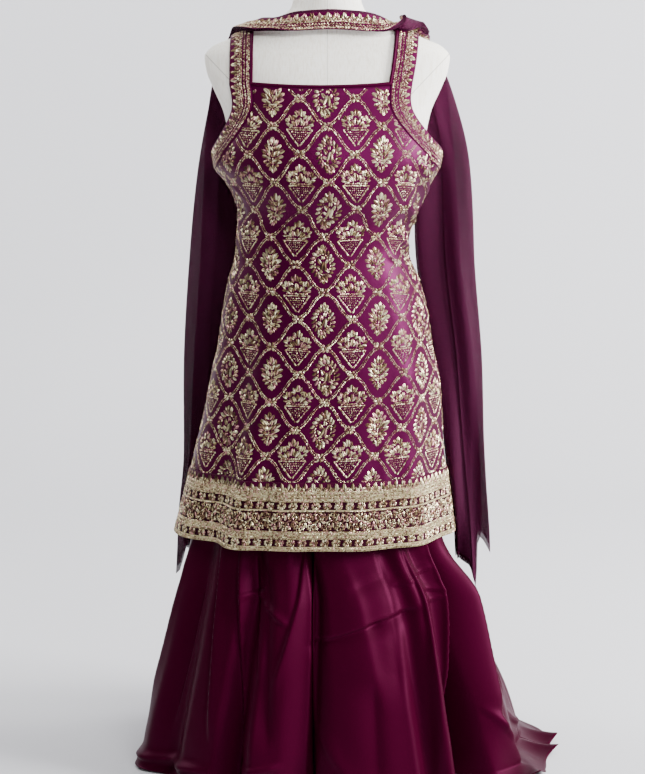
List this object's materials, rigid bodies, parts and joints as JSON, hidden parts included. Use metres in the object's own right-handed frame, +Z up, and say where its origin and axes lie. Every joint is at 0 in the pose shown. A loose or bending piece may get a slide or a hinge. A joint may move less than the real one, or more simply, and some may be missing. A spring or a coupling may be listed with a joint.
{
  "type": "sharara suit on a dress form",
  "caption": "Sleeveless embroidered tunic, wide flared floor-length trousers and a pleated chiffon scarf, dressed on a limbless dress form with a round-based stand.",
  "frame": {"origin": "centre of the underside of the round base, on the floor", "axes": "+Z up, +X to the viewer's right, the front of the suit faces -Y"},
  "size_m": [0.6888, 0.4797, 1.244],
  "materials": {
    "embroidered_satin": "satin",
    "gold_border": "metallic thread",
    "binding_satin": "satin",
    "trouser_satin": "satin",
    "chiffon": "matte",
    "linen": "matte",
    "stand_metal": "satin"
  },
  "bodies": {
    "root": {"kameez_front": "embroidered_satin", "kameez_back": "embroidered_satin", "hem_border_front": "gold_border", "hem_border_back": "gold_border", "strap_band_right": "gold_border", "strap_band_left": "gold_border", "neck_binding": "binding_satin", "sharara_waistband": "trouser_satin", "sharara_front_right": "trouser_satin", "sharara_back_right": "trouser_satin", "sharara_front_left": "trouser_satin", "sharara_back_left": "trouser_satin", "dupatta_neck": "chiffon", "dupatta_fall_right": "chiffon", "dupatta_fall_left": "chiffon", "dupatta_border_neck": "gold_border", "dupatta_border_fall_right": "gold_border", "dupatta_border_fall_left": "gold_border", "form_torso": "linen", "stand_pole": "stand_metal", "stand_base": "stand_metal"}
  },
  "joints": []
}
